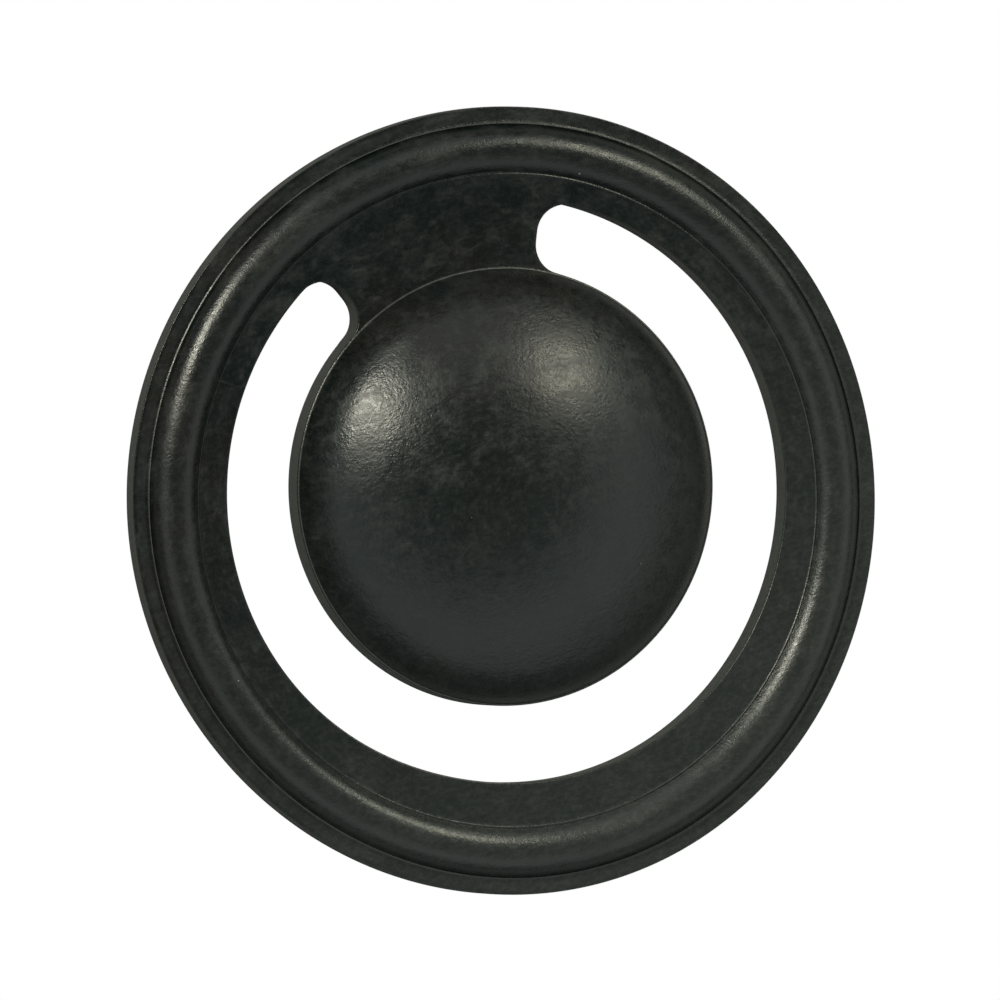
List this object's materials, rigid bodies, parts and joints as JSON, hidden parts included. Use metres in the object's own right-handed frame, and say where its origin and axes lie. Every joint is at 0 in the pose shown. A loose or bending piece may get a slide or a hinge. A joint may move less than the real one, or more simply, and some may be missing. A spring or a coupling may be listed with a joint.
{
  "type": "flap check valve",
  "caption": "Moulded rubber swing-flap check valve: a beaded sealing ring with a domed, weighted flap hinged inside it on a rubber strap.",
  "frame": {"origin": "centre of the ring on its flat underside", "axes": "+Z along the ring's axis towards the domed side, +Y towards the hinge strap, X along the bending lines"},
  "size_m": [0.08, 0.08, 0.013],
  "materials": {
    "ring_rubber": "satin moulded",
    "strap_rubber": "satin moulded",
    "flap_rubber": "satin moulded",
    "dome_rubber": "satin, fine orange peel",
    "weight_steel": "sawn and phosphated"
  },
  "bodies": {
    "ring": {"seal_ring": "ring_rubber"},
    "strap": {"hinge_strap": "strap_rubber"},
    "flap": {"flap_disc": "flap_rubber", "flap_dome": "dome_rubber", "flap_weight": "weight_steel"}
  },
  "joints": [
    {"name": "strap_bend_ring_side", "type": "hinge", "parent": "ring", "child": "strap", "pos_m": [0, 0.0264, 0.0015], "axis": [-1, 0, 0], "range_deg": [0, 30], "stiffness_Nm_per_rad": 0.07},
    {"name": "strap_bend_flap_side", "type": "hinge", "parent": "strap", "child": "flap", "pos_m": [0, 0.02475, 0.0015], "axis": [-1, 0, 0], "range_deg": [0, 30], "stiffness_Nm_per_rad": 0.07}
  ],
  "couplings": [
    {"joint": "strap_bend_flap_side", "follows": "strap_bend_ring_side", "ratio": 1}
  ]
}
